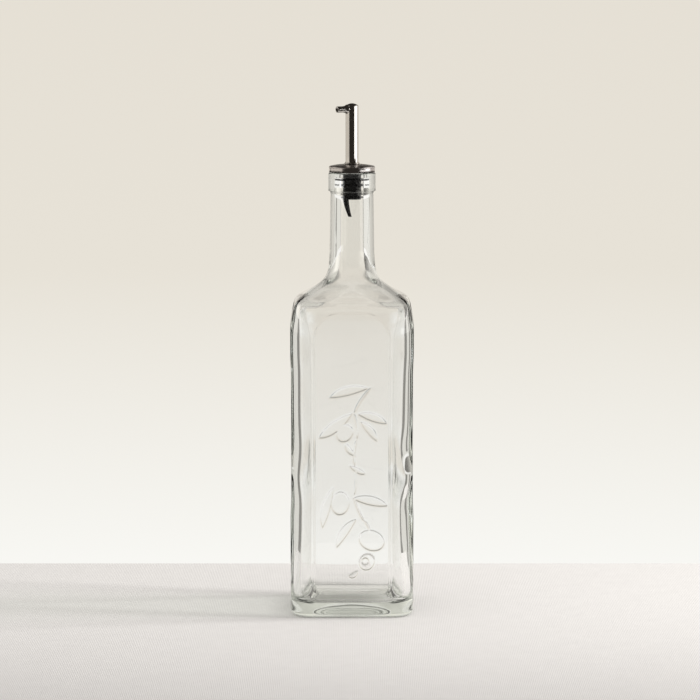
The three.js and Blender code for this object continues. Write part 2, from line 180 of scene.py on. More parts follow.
def plan_corner(half, z):
    """Corner radius in plan: small at the base, the body's own, then a full circle at the neck."""
    at_base = np.maximum(BASE_CORNER_R, CORNER_R - (BODY_HALF - half))
    roundness = smooth((BODY_HALF - half) / (BODY_HALF - SHOULDER_TOP_HALF))
    at_neck = CORNER_R + (half - CORNER_R) * roundness
    corner = np.where(z < HEEL_R + 0.0001, at_base, np.where(z < SHOULDER_START - WALL, CORNER_R, at_neck))
    return np.minimum(half, corner)


def inner_profile(outer):
    """The hollow from the lip down to the middle of the floor, and its corner radius in plan at each row.
    From the neck's foot to the side wall it follows the outside, so the shoulder's wall is even."""
    inner = BODY_HALF - WALL
    lip_inside = at(BORE_R + LIP_ROUND, LIP_TOP)
    mouth = at(BORE_R, LIP_TOP - LIP_ROUND)
    low = at(inner, FLOOR_EDGE + FLOOR_FILLET)
    floor = at(inner - FLOOR_FILLET, FLOOR_EDGE)
    above = outer[(outer[:, 1] > HOLLOW_FOLLOWS) & (outer[:, 1] < NECK_FOOT)][::-1]
    along = -np.gradient(above, axis=0)
    along /= np.linalg.norm(along, axis=1, keepdims=True)
    outward = np.stack([along[:, 1], -along[:, 0]], axis=1)
    thickness = WALL + (NECK_WALL - WALL) * smooth((above[:, 1:] - NECK_THICKENS) / 0.015)
    shoulder = above - outward * thickness
    parallel = plan_corner(above[:, 0], above[:, 1]) - (above[:, 0] - shoulder[:, 0])
    share = smooth((shoulder[:, 1] - 0.178) / 0.014)
    upper = np.vstack([
        lip_inside[None],
        bend(lip_inside, at(BORE_R, LIP_TOP), mouth, 5),
        straight(mouth, shoulder[0], 20)[:-1],
    ])
    lower = np.vstack([
        straight(shoulder[-1], low, 88),
        bend(low, at(inner, FLOOR_EDGE), floor, 9),
        straight(floor, at(0, FLOOR_MIDDLE), 8),
    ])
    corner = INNER_CORNER_R * (1 - share) + parallel * share
    corner = np.concatenate([upper[:, 0], corner, np.minimum(lower[:, 0], INNER_CORNER_R)])
    profile = np.vstack([upper, shoulder, lower])
    return eased(profile, 0.190, 0.232, 10), corner


def column_angles():
    """Directions of the mesh's columns: close together on the front face and at the corners."""
    front = np.arctan2(-BODY_HALF, np.linspace(-0.0252, 0.0252, PANEL_COLUMNS))
    flat_end = math.atan2(BODY_HALF - CORNER_R, BODY_HALF)
    corner = np.linspace(flat_end, math.pi / 2 - flat_end, 13)
    side = np.arctan2(np.linspace(-0.0235, 0.0235, 10), BODY_HALF)
    back = np.arctan2(BODY_HALF, np.array([25, 24.2, 23.6, 23, 22.2, 19, 15, 10, 5]) / 1000)
    back = np.concatenate([back, [math.pi / 2], math.pi - back[::-1]])
    parts = [front, corner - math.pi / 2, side, corner, back, corner + math.pi / 2, side + math.pi]
    return np.concatenate([*parts, corner + math.pi])


def squared(profile, corner, drawn_in):
    """Rings of a rounded square, one for each row of the profile: x, y and z as rows by columns."""
    reach = square_reach(angles[None], profile[:, :1], corner[:, None])
    x = reach * np.cos(angles) * (1 - drawn_in[:, None] / BODY_HALF)
    y = reach * np.sin(angles)
    return x, y, profile[:, 1:] + 0 * x


def panel_mask(x, z):
    """1 inside the arched outline of the sunk panel, 0 outside it, with a soft edge."""
    radius = np.where(z > (PANEL_LOW + PANEL_HIGH) / 2, PANEL_TOP_R, PANEL_LOW_R)
    middle = (PANEL_LOW + PANEL_HIGH) / 2
    over_x = np.abs(x) - (PANEL_HALF - radius)
    over_z = np.abs(z - middle) - ((PANEL_HIGH - PANEL_LOW) / 2 - radius)
    outside = np.hypot(np.maximum(over_x, 0), np.maximum(over_z, 0))
    distance = outside + np.minimum(np.maximum(over_x, over_z), 0) - radius
    return smooth(0.5 - distance / PANEL_EDGE)


def drawn_inside(x, z, start, bow, end, half_width, blade):
    """How far inside a bent leaf or stem each point lies: circles of the blade's width along its curve."""
    start, end = np.array(start) / 1000, np.array(end) / 1000
    corner = (start + end) / 2 + np.array(bow) / 1000
    line = np.vstack([start[None], bend(start, corner, end, 48)])
    width = half_width * blade(np.linspace(0, 1, 49))
    distance = np.hypot(x[..., None] - line[:, 0], z[..., None] - line[:, 1])
    return (width - distance).max(axis=-1)


def olive_inside(x, z, middle_x, middle_z, length, width, lean):
    """How far inside an egg-shaped olive each point lies; millimetres, and radians from upright."""
    right, up = x * 1000 - middle_x, z * 1000 - middle_z
    along = (right * math.sin(lean) + up * math.cos(lean)) / (length / 2)
    across = (right * math.cos(lean) - up * math.sin(lean)) / (width / 2)
    return (1 - np.hypot(along, across)) * (length + width) / 4000


def leaf_blade(t):
    return 4 * t * (1 - t)


def stem_blade(t):
    return np.minimum(1, np.minimum(6 * t, 6 * (1 - t)))


# The sprig in panel coordinates, millimetres across and up: from, bow, to, and a leaf's half-width
STEMS = [
    [(12, 147.5), (-1.5, 1.5), (1, 131)],
    [(1, 131.6), (2.4, 0.5), (3, 114)],
    [(3, 114.6), (-2.2, 0), (2, 97)],
    [(2, 97.6), (1.8, 1), (1, 78)],
    [(1, 78.6), (-0.8, -1.5), (8, 62)],
    [(8, 62.6), (2.2, 0), (11, 54)],
]
LEAVES = [
    [(10, 147), (-1.5, 2.6), (-14, 141), 2.7],
    [(0, 131), (-2, -2.4), (-20.5, 115.5), 3.1],
    [(4, 130.5), (1.5, 2), (21.8, 124.5), 2.5],
    [(5.5, 125.5), (2.2, 1), (15.5, 113.5), 2.1],
    [(-1.6, 97.8), (1.5, -1.2), (8, 92.6), 1.5],
    [(2.2, 104), (-2.5, 0), (-3.5, 112), 1.6],
    [(-11.8, 84), (-2.6, -1), (-18.6, 58), 2.5],
    [(0.5, 77), (1, 1.8), (22.4, 72.2), 2.8],
    [(2.6, 63.5), (-2.8, 2), (-9.6, 45.5), 2.5],
    [(3.5, 30.5), (0.5, -2.2), (-2, 27), 1.4],
]
OLIVES = [
    (-4.6, 118.5, 11.5, 9.6, 0.6),
    (-7.4, 73.8, 14.6, 11.2, 0.12),
    (12.4, 50, 16.2, 12.6, -1.2),
    (9.4, 36.2, 10.6, 9.2, 0.5),
]
# A round dimple in the lowest olive: its middle across and up, and its radius, in metres
DIMPLE = (0.0084, 0.0366, 0.0022)


def inside_sprig(x, z):
    """How far inside the sprig's outline each point lies, in metres; less than nothing outside it."""
    inside = [drawn_inside(x, z, *stem, STEM_HALF_WIDTH, stem_blade) for stem in STEMS]
    inside += [drawn_inside(x, z, *leaf[:3], leaf[3] / 1000, leaf_blade) for leaf in LEAVES]
    inside += [olive_inside(x, z, *olive) for olive in OLIVES]
    return np.minimum(np.max(inside, axis=0), np.hypot(x - DIMPLE[0], z - DIMPLE[1]) - DIMPLE[2])


# Where the inner faces of the two side walls bulge out or stay in: height and distance, in millimetres
SIDE_WAVES = [(18, 0), (38, -0.6), (60, -1.1), (71, -1.2), (79, -0.4), (88, 0.7), (98, -0.3), (108, -0.9),
              (120, -0.3), (172, 0)]


def side_wave(z):
    """The bulges of the side walls, rounded off over a few millimetres."""
    heights, bulges = np.array(SIDE_WAVES).T / 1000
    spread = np.linspace(-0.005, 0.005, 11)
    return sum(np.interp(z + d, heights, bulges) for d in spread) / len(spread)


def inner_ripple(angle, z):
    """Uneven thickness of the pressed wall, in metres: slow waves, strongest on the two side walls."""
    side_wall = np.cos(angle) ** 4
    waves = 0.00006 * np.sin(z / 0.0085 + 2 * angle) + 0.00003 * np.sin(z / 0.0048 + 1.3 - 3 * angle)
    body = smooth((z - 0.018) / 0.010) * smooth((0.186 - z) / 0.012)
    return body * waves * (0.3 + side_wall)


angles = column_angles()
outer = outer_profile()
inner, inner_corner = inner_profile(outer)
from_below = smooth((outer[:, 1] - WAIST_LOW) / WAIST_FADE + 1)
from_above = smooth((WAIST_HIGH - outer[:, 1]) / WAIST_FADE + 1)
waist = WAIST_DEPTH * from_below * from_above
side_wall = SIDE_WALL_EXTRA * smooth((0.2006 - inner[:, 1]) / 0.014)
side_wall += np.interp(inner[::-1, 1], outer[:, 1], waist)[::-1]
outer_x, outer_y, outer_z = squared(outer[1:], plan_corner(*outer[1:].T), waist[1:])
inner_x, inner_y, inner_z = squared(inner[:-1], inner_corner[:-1], side_wall[:-1])

front = (outer_y < 0) & (np.abs(outer_x) < PANEL_REACH)
back = (outer_y > 0) & (np.abs(outer_x) < PANEL_REACH)
sunk = PANEL_SINK * panel_mask(outer_x, outer_z)
with_sprig = (outer[1:, 1] > SPRIG_LOW - 0.0005) & (outer[1:, 1] < SPRIG_HIGH + 0.0005)
patch = np.ix_(with_sprig, np.arange(PANEL_COLUMNS))
outline = np.full_like(outer_x, FAR_OUTSIDE)
outline[patch] = inside_sprig(outer_x[patch], outer_z[patch])
raised = SPRIG_RISE * smooth(outline / SPRIG_EDGE + 0.5)
outer_y += np.where(front, sunk - raised, 0) - np.where(back, sunk, 0)

from_grip = np.hypot(outer_y, outer_z - GRIP_Z)
dent = np.where(from_grip < GRIP_R, GRIP_DEPTH / 2 * (1 + np.cos(math.pi * from_grip / GRIP_R)), 0)
outer_x -= np.where(np.abs(outer_x) > GRIP_FACE, np.sign(outer_x) * dent, 0)

ripple = inner_ripple(angles[None], inner_z)
inner_x *= 1 - ripple / BODY_HALF
inner_y *= 1 - ripple / BODY_HALF
near_side = smooth((np.abs(inner_x) - SIDE_FACE) / SIDE_FACE_FADE)
inner_x += near_side * side_wave(inner_z) * np.where(inner_x > 0, 1.0, LEFT_WAVE)

ring_x = np.vstack([outer_x, inner_x])
ring_y = np.vstack([outer_y, inner_y])
ring_z = np.vstack([outer_z, inner_z])
rings, columns = ring_x.shape
vertices = np.stack([ring_x, ring_y, ring_z], axis=-1).reshape(-1, 3)
vertices = np.vstack([vertices, [0, 0, PUSH_UP], [0, 0, FLOOR_MIDDLE]])
first = np.arange(rings - 1)[:, None] * columns + np.arange(columns)[None]
beside = np.arange(rings - 1)[:, None] * columns + (np.arange(columns)[None] + 1) % columns
quads = np.stack([first, beside, beside + columns, first + columns], axis=-1).reshape(-1, 4)
around = np.arange(columns)
next_one = (around + 1) % columns
last_ring = (rings - 1) * columns
under = [(rings * columns, b, a) for a, b in zip(around, next_one)]
over = [(last_ring + a, last_ring + b, rings * columns + 1) for a, b in zip(around, next_one)]


def new_piece(name, points, faces):
    mesh = bpy.data.meshes.new(name)
    mesh.from_pydata([tuple(p) for p in points], [], [tuple(int(i) for i in f) for f in faces])
    mesh.shade_smooth()
    piece = bpy.data.objects.new(name, mesh)
    bpy.context.scene.collection.objects.link(piece)
    return piece


glass = new_piece("clear_glass_bottle", vertices, [*quads.tolist(), *under, *over])
sprig_line = glass.data.attributes.new("sprig_line", "FLOAT", "POINT")
distances = np.append(outline.ravel(), np.full(inner_x.size + 2, FAR_OUTSIDE))
sprig_line.data.foreach_set("value", distances.astype(np.float32))


def add(tree, kind, values=None, **settings):
    """A node in the tree, with plain values by socket name and its own settings."""
    node = tree.nodes.new(kind)
    for name, value in settings.items():
        setattr(node, name, value)
    for socket, value in (values or {}).items():
        node.inputs[socket].default_value = value
    return node


def wire(tree, source, output, target, socket):
    tree.links.new(source.outputs[output], target.inputs[socket])


def marks_group():
    """Faint smudges and mottling that every surface of a handled thing has: a value round 0.5."""
    group = bpy.data.node_groups.new("handling_marks", "ShaderNodeTree")
    group.interface.new_socket("Size", in_out="INPUT", socket_type="NodeSocketFloat")
    group.interface.new_socket("Contrast", in_out="INPUT", socket_type="NodeSocketFloat")
    group.interface.new_socket("Marks", in_out="OUTPUT", socket_type="NodeSocketFloat")
    given = add(group, "NodeGroupInput")
    place = add(group, "ShaderNodeTexCoord")
    scale = add(group, "ShaderNodeMath", {0: 1.0}, operation="DIVIDE")
    noise = add(group, "ShaderNodeTexNoise", {"Detail": 4.0, "Roughness": 0.55})
    centred = add(group, "ShaderNodeMath", {1: 0.5}, operation="SUBTRACT")
    scaled = add(group, "ShaderNodeMath", operation="MULTIPLY")
    lifted = add(group, "ShaderNodeMath", {1: 0.5}, operation="ADD")
    result = add(group, "NodeGroupOutput")
    wire(group, place, "Object", noise, "Vector")
    group.links.new(given.outputs["Size"], scale.inputs[1])
    group.links.new(scale.outputs[0], noise.inputs["Scale"])
    group.links.new(noise.outputs["Fac"], centred.inputs[0])
    group.links.new(centred.outputs[0], scaled.inputs[0])
    group.links.new(given.outputs["Contrast"], scaled.inputs[1])
    group.links.new(scaled.outputs[0], lifted.inputs[0])
    group.links.new(lifted.outputs[0], result.inputs["Marks"])
    return group


handling_marks = marks_group()


def marks(tree, size, contrast):
    return add(tree, "ShaderNodeGroup", {"Size": size, "Contrast": contrast}, node_tree=handling_marks)


def new_material(name):
    material = bpy.data.materials.new(name)
    material.use_nodes = True
    tree = material.node_tree
    tree.nodes.clear()
    return material, tree, add(tree, "ShaderNodeOutputMaterial")


def ranged(tree, source, output, low, high):
    """Spreads a value between 0 and 1 over a range."""
    spread = add(tree, "ShaderNodeMapRange", {"To Min": low, "To Max": high})
    wire(tree, source, output, spread, "Value")
    return spread


def ramp(tree, value, stops):
    """A colour that runs through the stops, which are pairs of a value and its colour, in rising order."""
    low, high = stops[0][0], stops[-1][0]
    spread = add(tree, "ShaderNodeMapRange", {"From Min": low, "From Max": high})
    tree.links.new(value, spread.inputs["Value"])
    colours = add(tree, "ShaderNodeValToRGB")
    elements = colours.color_ramp.elements
    for index, (stop, colour) in enumerate(stops):
        position = (stop - low) / (high - low)
        element = elements[index] if index < 1 else elements.new(position)
        if index == len(stops) - 1:
            elements.remove(element)
            element = elements[-1]
        element.position = position
        element.color = (*colour, 1)
    wire(tree, spread, "Result", colours, "Fac")
    return colours.outputs["Color"]


def clear_glass():
    material, tree, out = new_material("clear_glass")
    glass_shader = add(tree, "ShaderNodeBsdfPrincipled", {
        "Base Color": (1.0, 1.0, 1.0, 1.0),
        "Metallic": 0.0,
        "IOR": 1.52,
        "Transmission Weight": 1.0,
    })
    smudges = marks(tree, 0.03, 1.6)
    haze = ranged(tree, smudges, "Marks", 0.0, 0.006)
    # The stippled underside, inside the ring it stands on
    place = add(tree, "ShaderNodeTexCoord")
    split = add(tree, "ShaderNodeSeparateXYZ")
    from_middle = add(tree, "ShaderNodeVectorMath", operation="LENGTH")
    under = add(tree, "ShaderNodeMapRange", {"From Min": STIPPLE_TOP, "From Max": STIPPLE_TOP - 0.0016})
    stipple = add(tree, "ShaderNodeMapRange", {
        "From Min": STIPPLE_R,
        "From Max": STIPPLE_R - 0.0015,
        "To Max": STIPPLE,
    })
    both = add(tree, "ShaderNodeMath", operation="MULTIPLY")
    rough = add(tree, "ShaderNodeMath", operation="ADD")
    wire(tree, place, "Object", split, "Vector")
    wire(tree, place, "Object", from_middle, 0)
    wire(tree, split, "Z", under, "Value")
    wire(tree, from_middle, "Value", stipple, "Value")
    wire(tree, under, "Result", both, 0)
    wire(tree, stipple, "Result", both, 1)
    wire(tree, both, "Value", rough, 0)
    wire(tree, haze, "Result", rough, 1)
    wire(tree, rough, "Value", glass_shader, "Roughness")
    # The sprig's crisp outline, finer than the mesh
    edge = add(tree, "ShaderNodeAttribute", attribute_name="sprig_line")
    rise = add(tree, "ShaderNodeMapRange", {"From Min": -LINE_WIDTH / 2, "From Max": LINE_WIDTH / 2},
               interpolation_type="SMOOTHSTEP")
    crisp = add(tree, "ShaderNodeBump", {"Strength": 1.0, "Distance": LINE_RISE})
    wire(tree, edge, "Fac", rise, "Value")
    wire(tree, rise, "Result", crisp, "Height")
    wire(tree, crisp, "Normal", glass_shader, "Normal")
    # Faint green where the glass is thick
    tint = add(tree, "ShaderNodeVolumeAbsorption", {"Color": (0.86, 0.94, 0.87, 1.0), "Density": 8.0})
    wire(tree, tint, "Volume", out, "Volume")
    # Light goes straight through to make the shadow, and less of it where the wall is seen edge-on
    facing = add(tree, "ShaderNodeLayerWeight", {"Blend": 0.5})
    shade = ramp(tree, facing.outputs["Facing"], [(0.35, (0.94, 0.95, 0.94)), (0.95, (0.10, 0.10, 0.10))])
    lit_through = add(tree, "ShaderNodeBsdfTransparent")
    tree.links.new(shade, lit_through.inputs["Color"])
    path = add(tree, "ShaderNodeLightPath")
    choose = add(tree, "ShaderNodeMixShader")
    wire(tree, path, "Is Shadow Ray", choose, "Fac")
    tree.links.new(glass_shader.outputs["BSDF"], choose.inputs[1])
    tree.links.new(lit_through.outputs["BSDF"], choose.inputs[2])
    wire(tree, choose, "Shader", out, "Surface")
    return material


glass.data.materials.append(clear_glass())
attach(glass, "root")
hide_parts("bottle_glass")

# Stopper: one moulded piece of black plastic. A plug with two wide and three fine ribs grips the neck,
# its flange lies on the lip under the cap, and a thin air tube leans down from the plug's bottom.
FLANGE_R = 0.0129
FLANGE_TOP = LIP_TOP + 0.0019
STOPPER_BOTTOM = LIP_TOP - 0.0168
CORE_R = 0.0059
RIB_R = BORE_R + 0.00005
RIB_SLOPE = 0.0004
RIB_ROUND = 0.00018
SPOUT_ROOM = 0.00445
PASSAGE_R = 0.0019
TUBE_LENGTH = 0.0113
TUBE_LEAN = 0.00405
TUBE_TIP_LEAN = 0.00125


def turned(rings_of, sides):
    """Points and faces of a closed section turned about the vertical axis."""
    section = np.array(rings_of)
    count = len(section)
    turn = np.arange(sides) * 2 * math.pi / sides
    x = section[:, 0][None] * np.cos(turn)[:, None]
    y = section[:, 0][None] * np.sin(turn)[:, None]
    z = np.broadcast_to(section[:, 1][None], x.shape)
    points = np.stack([x, y, z], axis=-1).reshape(-1, 3)
    faces = []
    for i in range(sides):
        j = (i + 1) % sides
        for k in range(count):
            m = (k + 1) % count
            faces.append((i * count + k, j * count + k, j * count + m, i * count + m))
    return points, faces


def rounded_section(corners, radius, steps=3):
    """A closed section with each corner rounded off by a radius, or less where sides are short."""
    corners = [np.array(c, float) for c in corners]
    rows = []
    for before, corner, after in zip(corners[-1:] + corners[:-1], corners, corners[1:] + corners[:1]):
        into, out_of = before - corner, after - corner
        near = corner + into * min(0.45, radius / np.linalg.norm(into))
        far = corner + out_of * min(0.45, radius / np.linalg.norm(out_of))
        rows.append(near[None])
        rows.append(bend(near, corner, far, steps))
    return np.vstack(rows)


def plug_piece():
    points, faces = turned(rounded_section([
        (SPOUT_ROOM, FLANGE_TOP),
        (SPOUT_ROOM, LIP_TOP - 0.0090),
        (PASSAGE_R, LIP_TOP - 0.0090),
        (PASSAGE_R, STOPPER_BOTTOM),
        (CORE_R, STOPPER_BOTTOM),
        (CORE_R, LIP_TOP - 0.0014),
        (RIB_R, LIP_TOP - 0.0009),
        (RIB_R, LIP_TOP + 0.0003),
        (FLANGE_R, LIP_TOP + 0.0003),
        (FLANGE_R, FLANGE_TOP),
    ], 0.00025), 72)
    return new_piece("stopper_plug", points, faces)


plug = plug_piece()


def rib_tree():
    """Ribs one under the other: a barbed section swept round the plug and repeated down it by a pitch."""
    tree = bpy.data.node_groups.new("stopper_ribs", "GeometryNodeTree")
    socket = tree.interface.new_socket
    for name in ("Core Radius", "Rib Radius", "Edge", "Slope", "First Height", "Pitch"):
        socket(name, in_out="INPUT", socket_type="NodeSocketFloat")
    socket("Ribs", in_out="INPUT", socket_type="NodeSocketInt")
    socket("Plastic", in_out="INPUT", socket_type="NodeSocketMaterial")
    socket("Geometry", in_out="OUTPUT", socket_type="NodeSocketGeometry")
    given = add(tree, "NodeGroupInput")
    out = add(tree, "NodeGroupOutput")

    def maths(operation, a, b):
        node = add(tree, "ShaderNodeMath", operation=operation)
        for socket_index, value in enumerate((a, b)):
            if isinstance(value, (int, float)):
                node.inputs[socket_index].default_value = value
            else:
                tree.links.new(value, node.inputs[socket_index])
        return node.outputs[0]

    def corner(x, y):
        node = add(tree, "ShaderNodeCombineXYZ")
        tree.links.new(x, node.inputs["X"])
        tree.links.new(y, node.inputs["Y"])
        return node.outputs[0]

    depth = maths("SUBTRACT", given.outputs["Rib Radius"], given.outputs["Core Radius"])
    root = maths("MULTIPLY", depth, -0.6)
    half_edge = maths("MULTIPLY", given.outputs["Edge"], 0.5)
    half_root = maths("ADD", half_edge, given.outputs["Slope"])
    section = add(tree, "GeometryNodeCurvePrimitiveQuadrilateral", mode="POINTS")
    tree.links.new(corner(root, half_root), section.inputs["Point 1"])
    tree.links.new(corner(depth, half_edge), section.inputs["Point 2"])
    tree.links.new(corner(depth, maths("MULTIPLY", half_edge, -1.0)), section.inputs["Point 3"])
    tree.links.new(corner(root, maths("MULTIPLY", half_root, -1.0)), section.inputs["Point 4"])
    rounded = add(tree, "GeometryNodeFilletCurve", {"Radius": RIB_ROUND}, mode="POLY")
    rounded.inputs["Count"].default_value = 3
    wire(tree, section, "Curve", rounded, "Curve")
    circle = add(tree, "GeometryNodeCurvePrimitiveCircle", {"Resolution": 72})
    tree.links.new(given.outputs["Core Radius"], circle.inputs["Radius"])
    swept = add(tree, "GeometryNodeCurveToMesh")
    wire(tree, circle, "Curve", swept, "Curve")
    wire(tree, rounded, "Curve", swept, "Profile Curve")
    start = add(tree, "ShaderNodeCombineXYZ")
    tree.links.new(given.outputs["First Height"], start.inputs["Z"])
    step = add(tree, "ShaderNodeCombineXYZ")
    tree.links.new(maths("MULTIPLY", given.outputs["Pitch"], -1.0), step.inputs["Z"])
    line = add(tree, "GeometryNodeMeshLine")
    tree.links.new(given.outputs["Ribs"], line.inputs["Count"])
    tree.links.new(start.outputs[0], line.inputs["Start Location"])
    tree.links.new(step.outputs[0], line.inputs["Offset"])
    placed = add(tree, "GeometryNodeInstanceOnPoints")
    wire(tree, line, "Mesh", placed, "Points")
    wire(tree, swept, "Mesh", placed, "Instance")
    real = add(tree, "GeometryNodeRealizeInstances")
    wire(tree, placed, "Instances", real, "Geometry")
    shaded = add(tree, "GeometryNodeSetShadeSmooth")
    wire(tree, real, "Geometry", shaded, "Geometry")
    painted = add(tree, "GeometryNodeSetMaterial")
    wire(tree, shaded, "Geometry", painted, "Geometry")
    tree.links.new(given.outputs["Plastic"], painted.inputs["Material"])
    wire(tree, painted, "Geometry", out, "Geometry")
    return tree


def mottled(tree, shader, worn, dark, light):
    """A base colour that runs from dark to light with the handling marks."""
    colour = add(tree, "ShaderNodeMix", data_type="RGBA")
    colour.inputs[6].default_value = (*dark, 1)
    colour.inputs[7].default_value = (*light, 1)
    tree.links.new(worn.outputs["Marks"], colour.inputs[0])
    tree.links.new(colour.outputs[2], shader.inputs["Base Color"])


def black_plastic():
    material, tree, out = new_material("black_plastic")
    shader = add(tree, "ShaderNodeBsdfPrincipled", {"Metallic": 0.0, "IOR": 1.4})
    rubbed = marks(tree, 0.012, 1.0)
    mottled(tree, shader, rubbed, (0.002, 0.002, 0.0025), (0.006, 0.006, 0.007))
    gloss = ranged(tree, rubbed, "Marks", 0.06, 0.11)
    wire(tree, gloss, "Result", shader, "Roughness")
    place = add(tree, "ShaderNodeTexCoord")
    grain = add(tree, "ShaderNodeTexNoise", {"Scale": 3500.0, "Detail": 2.0})
    wire(tree, place, "Object", grain, "Vector")
    bump = add(tree, "ShaderNodeBump", {"Strength": 0.02, "Distance": 0.00005})
    wire(tree, grain, "Fac", bump, "Height")
    wire(tree, bump, "Normal", shader, "Normal")
    wire(tree, shader, "BSDF", out, "Surface")
    return material


plastic = black_plastic()
ribs = rib_tree()


def grown(name, tree, inputs):
    """A plain mesh object from a node tree; each input is set by its socket's identifier first."""
    holder = bpy.data.objects.new(name + "_grown", bpy.data.meshes.new(name + "_grown"))
    bpy.context.scene.collection.objects.link(holder)
    modifier = holder.modifiers.new("grow", "NODES")
    modifier.node_group = tree
    for item in tree.interface.items_tree:
        if item.item_type == "SOCKET" and item.in_out == "INPUT" and item.name in inputs:
            modifier[item.identifier] = inputs[item.name]
    depsgraph = bpy.context.evaluated_depsgraph_get()
    mesh = bpy.data.meshes.new_from_object(holder.evaluated_get(depsgraph))
    bpy.data.objects.remove(holder)
    mesh.name = name
    piece = bpy.data.objects.new(name, mesh)
    bpy.context.scene.collection.objects.link(piece)
    return piece


rib_sizes = {
    "Core Radius": CORE_R,
    "Rib Radius": RIB_R,
    "Slope": RIB_SLOPE,
    "Plastic": plastic,
}
wide_ribs = grown("wide_ribs", ribs, {
    **rib_sizes,
    "Edge": 0.0012,
    "First Height": LIP_TOP - 0.0043,
    "Pitch": 0.0034,
    "Ribs": 2,
})
fine_ribs = grown("fine_ribs", ribs, {
    **rib_sizes,
    "Edge": 0.0007,
    "First Height": LIP_TOP - 0.0115,
    "Pitch": 0.00195,
    "Ribs": 3,
})


def air_tube_piece():
    sides, rows = 32, 24
    down = np.linspace(-0.04, 1, rows)[:, None]
    turn = np.arange(sides) * 2 * math.pi / sides
    lean = -TUBE_LEAN + (TUBE_LEAN - TUBE_TIP_LEAN) * down - 0.00035 * 4 * down * (1 - down)
    points = []
    for radius_root, radius_tip in ((0.00195, 0.0011), (0.0006, 0.0006)):
        radius = radius_root + (radius_tip - radius_root) * down
        x = lean + radius * np.cos(turn)
        y = radius * np.sin(turn)
        z = np.broadcast_to(STOPPER_BOTTOM - TUBE_LENGTH * down, x.shape)
        points.append(np.stack([x, y, z], axis=-1).reshape(-1, 3))
    shell = sides * rows
    faces = []
    for i in range(sides):
        j = (i + 1) % sides
        for k in range(rows - 1):
            a, b = k * sides, (k + 1) * sides
            faces.append((a + i, b + i, b + j, a + j))
            faces.append((shell + a + j, shell + b + j, shell + b + i, shell + a + i))
        end = (rows - 1) * sides
        faces.append((end + i, shell + end + i, shell + end + j, end + j))
        faces.append((j, shell + j, shell + i, i))
    return new_piece("air_tube", np.vstack(points), faces)


air_tube = air_tube_piece()


def joined(name, pieces):
    """One mesh object of several, under one name."""
    with bpy.context.temp_override(active_object=pieces[0], selected_editable_objects=pieces):
        bpy.ops.object.join()
    pieces[0].name = name
    pieces[0].data.name = name
    return pieces[0]


plug.data.materials.append(plastic)
air_tube.data.materials.append(plastic)
stopper = joined("black_stopper", [plug, wide_ribs, fine_ribs, air_tube])
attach(stopper, "root")
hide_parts("pourer_stopper")

# Cap: a low pressed cup of satin steel over the stopper's flange, with a rounded shoulder, a slightly
# crowned top and a hole for the spout. It was spun, so its brushing runs round the axis.
CAP_R = 0.01465
CAP_BOTTOM = LIP_TOP + 0.0003
CAP_SIDE_TOP = LIP_TOP + 0.0031
CAP_TOP = LIP_TOP + 0.0052
CAP_INSIDE_R = 0.0132
CAP_UNDERSIDE = LIP_TOP + 0.0022


def cap_piece():
    side = at(CAP_R, CAP_SIDE_TOP)
    edge = at(0.0134, LIP_TOP + 0.0042)
    section = np.vstack([
        rounded_section([
            (SPOUT_ROOM, CAP_TOP),
            (SPOUT_ROOM, CAP_UNDERSIDE),
            (CAP_INSIDE_R, CAP_UNDERSIDE),
            (CAP_INSIDE_R, CAP_BOTTOM),
            (CAP_R, CAP_BOTTOM),
            (CAP_R, CAP_SIDE_TOP),
        ], 0.0002)[2:-2],
        side[None],
        bend(side, at(CAP_R, LIP_TOP + 0.0042), edge, 8),
        bend(edge, at(0.0094, CAP_TOP), at(0.0049, CAP_TOP), 8),
    ])
    points, faces = turned(section, 128)
    return new_piece("steel_cap", points, faces)


def brushed_steel():
    material, tree, out = new_material("brushed_steel")
    shader = add(tree, "ShaderNodeBsdfPrincipled", {"Metallic": 1.0})
    place = add(tree, "ShaderNodeTexCoord")
    split = add(tree, "ShaderNodeSeparateXYZ")
    wire(tree, place, "Object", split, "Vector")
    flat = add(tree, "ShaderNodeCombineXYZ")
    wire(tree, split, "X", flat, "X")
    wire(tree, split, "Y", flat, "Y")
    radius = add(tree, "ShaderNodeVectorMath", operation="LENGTH")
    wire(tree, flat, "Vector", radius, "Vector")
    across = add(tree, "ShaderNodeCombineXYZ")
    wire(tree, radius, "Value", across, "X")
    wire(tree, split, "Z", across, "Y")
    lines = add(tree, "ShaderNodeTexNoise", {"Scale": 5200.0, "Detail": 3.0, "Roughness": 0.6})
    wire(tree, across, "Vector", lines, "Vector")
    bump = add(tree, "ShaderNodeBump", {"Strength": 0.18, "Distance": 0.00004})
    wire(tree, lines, "Fac", bump, "Height")
    wire(tree, bump, "Normal", shader, "Normal")
    worn = marks(tree, 0.006, 1.2)
    mottled(tree, shader, worn, (0.61, 0.585, 0.58), (0.70, 0.67, 0.66))
    satin = ranged(tree, lines, "Fac", 0.14, 0.22)
    crown = add(tree, "ShaderNodeMapRange", {
        "From Min": CAP_SIDE_TOP - 0.0004,
        "From Max": CAP_SIDE_TOP + 0.0004,
        "To Max": 0.16,
    })
    matt = add(tree, "ShaderNodeMath", operation="ADD")
    wire(tree, split, "Z", crown, "Value")
    wire(tree, satin, "Result", matt, 0)
    wire(tree, crown, "Result", matt, 1)
    wire(tree, matt, "Value", shader, "Roughness")
    wire(tree, shader, "BSDF", out, "Surface")
    return material


cap = cap_piece()
cap.data.materials.append(brushed_steel())
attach(cap, "root")
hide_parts("pourer_cap")

